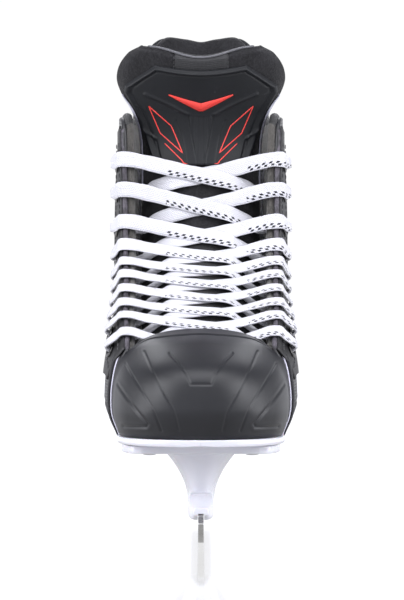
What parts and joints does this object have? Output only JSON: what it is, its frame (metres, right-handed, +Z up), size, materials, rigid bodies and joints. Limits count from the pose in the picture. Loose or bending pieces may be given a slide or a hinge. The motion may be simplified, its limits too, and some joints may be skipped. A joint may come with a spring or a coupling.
{
  "type": "ice hockey skate",
  "caption": "Ice hockey skate: stiff boot with toe cap, felt tongue and flat laces over a plastic holder with a bolted steel runner.",
  "frame": {"origin": "middle of the flat stretch of the runner's ice edge, where the skate stands", "axes": "+Z up, toe towards -Y, heel towards +Y, +X to the right seen from the toe side with +Z up"},
  "size_m": [0.1086, 0.2957, 0.2806],
  "materials": {
    "cap_plastic": "satin moulded black",
    "shell": "black coated composite",
    "overlay": "grained black synthetic leather",
    "liner_felt": "brushed grey lining over foam",
    "felt": "black brushed felt",
    "white_plastic": "glossy cool white",
    "board": "pressed fibre board",
    "foam": "moulded foam with a fabric top",
    "lace": "flat white weave with black tracer dashes",
    "aglet": "clear-white tipping",
    "runner_steel": "ground stainless steel",
    "zinc_steel": "zinc plated",
    "eyelet_metal": "black enamelled"
  },
  "bodies": {
    "boot": {"toe_cap": "cap_plastic", "quarter_left": "shell", "quarter_right": "shell", "heel_counter": "overlay", "facing_left": "overlay", "facing_right": "overlay", "liner_left": "liner_felt", "liner_right": "liner_felt", "tongue_pad_lower": "felt", "outsole": "white_plastic", "blade_holder": "white_plastic", "insole_board": "board", "footbed": "foam", "lace": "lace", "aglet_left": "aglet", "aglet_right": "aglet", "runner": "runner_steel", "runner_bolt_front": "zinc_steel", "runner_bolt_rear": "zinc_steel", "runner_nut_front": "zinc_steel", "runner_nut_rear": "zinc_steel", "eyelet_left_1": "eyelet_metal", "eyelet_left_2": "eyelet_metal", "eyelet_left_3": "eyelet_metal", "eyelet_left_4": "eyelet_metal", "eyelet_left_5": "eyelet_metal", "eyelet_left_6": "eyelet_metal", "eyelet_left_7": "eyelet_metal", "eyelet_left_8": "eyelet_metal", "eyelet_left_9": "eyelet_metal", "eyelet_left_10": "eyelet_metal", "eyelet_right_1": "eyelet_metal", "eyelet_right_2": "eyelet_metal", "eyelet_right_3": "eyelet_metal", "eyelet_right_4": "eyelet_metal", "eyelet_right_5": "eyelet_metal", "eyelet_right_6": "eyelet_metal", "eyelet_right_7": "eyelet_metal", "eyelet_right_8": "eyelet_metal", "eyelet_right_9": "eyelet_metal", "eyelet_right_10": "eyelet_metal", "rivet_front_left_1": "zinc_steel", "rivet_front_left_2": "zinc_steel", "rivet_front_left_3": "zinc_steel", "rivet_front_left_4": "zinc_steel", "rivet_front_right_1": "zinc_steel", "rivet_front_right_2": "zinc_steel", "rivet_front_right_3": "zinc_steel", "rivet_front_right_4": "zinc_steel", "rivet_rear_left_1": "zinc_steel", "rivet_rear_left_2": "zinc_steel", "rivet_rear_left_3": "zinc_steel", "rivet_rear_right_1": "zinc_steel", "rivet_rear_right_2": "zinc_steel", "rivet_rear_right_3": "zinc_steel"},
    "tongue_top": {"tongue_pad_upper": "felt", "tongue_shield": "cap_plastic"},
    "guard": {"tendon_guard": "shell", "tendon_guard_pad": "felt"}
  },
  "joints": [
    {"name": "tongue_flex", "type": "hinge", "parent": "boot", "child": "tongue_top", "pos_m": [0, 0.0335, 0.2125], "axis": [1, 0, 0], "range_deg": [0, 30], "stiffness_Nm_per_rad": 1.5},
    {"name": "tendon_guard_flex", "type": "hinge", "parent": "boot", "child": "guard", "pos_m": [0, 0.1347, 0.2416], "axis": [-1, 0, 0], "range_deg": [0, 15], "stiffness_Nm_per_rad": 3}
  ]
}
